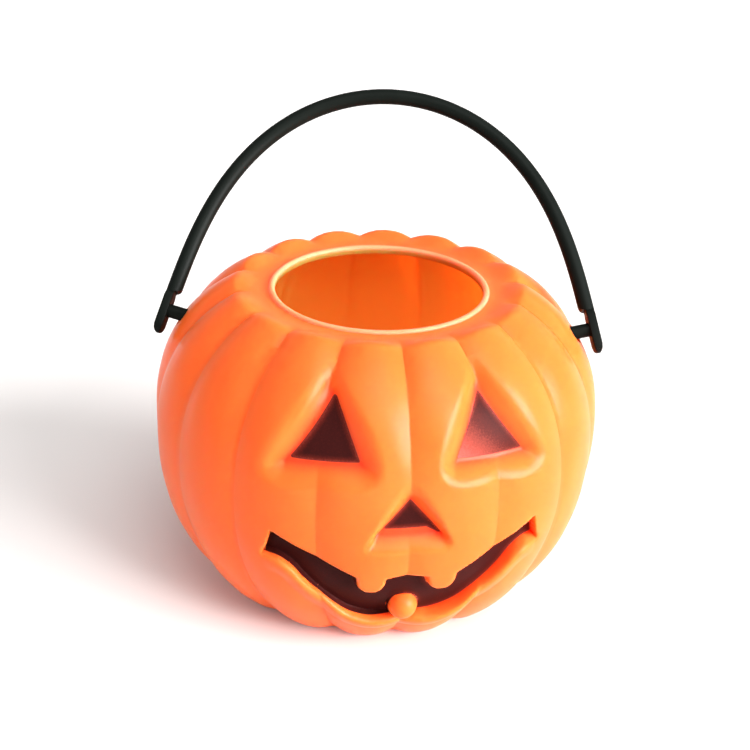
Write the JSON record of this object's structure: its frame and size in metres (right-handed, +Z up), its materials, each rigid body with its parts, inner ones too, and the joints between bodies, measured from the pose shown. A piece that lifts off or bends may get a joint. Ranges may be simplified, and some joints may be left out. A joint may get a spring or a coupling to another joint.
{
  "type": "trick-or-treat bucket",
  "caption": "Round ribbed pumpkin-shaped bucket with a recessed jack-o'-lantern face, an open top with a rolled lip, and a swinging arched strap handle.",
  "frame": {"origin": "the middle of the flat base, on the ground", "axes": "+Z up along the bucket's axis, face towards -Y, +X to the viewer's right of the face"},
  "size_m": [0.1238, 0.1237, 0.1307],
  "materials": {
    "shell": "satin",
    "face_paint": "gloss",
    "handle": "satin"
  },
  "bodies": {
    "bucket": {"pumpkin_shell": "shell", "right_eye_paint": "face_paint", "left_eye_paint": "face_paint", "nose_paint": "face_paint", "mouth_paint": "face_paint"},
    "handle": {"carry_handle": "handle"}
  },
  "joints": [
    {"name": "handle_swing", "type": "hinge", "parent": "bucket", "child": "handle", "pos_m": [0, 0, 0.0761], "axis": [0.9808, -0.1951, 0], "range_deg": [-50, 130]}
  ]
}
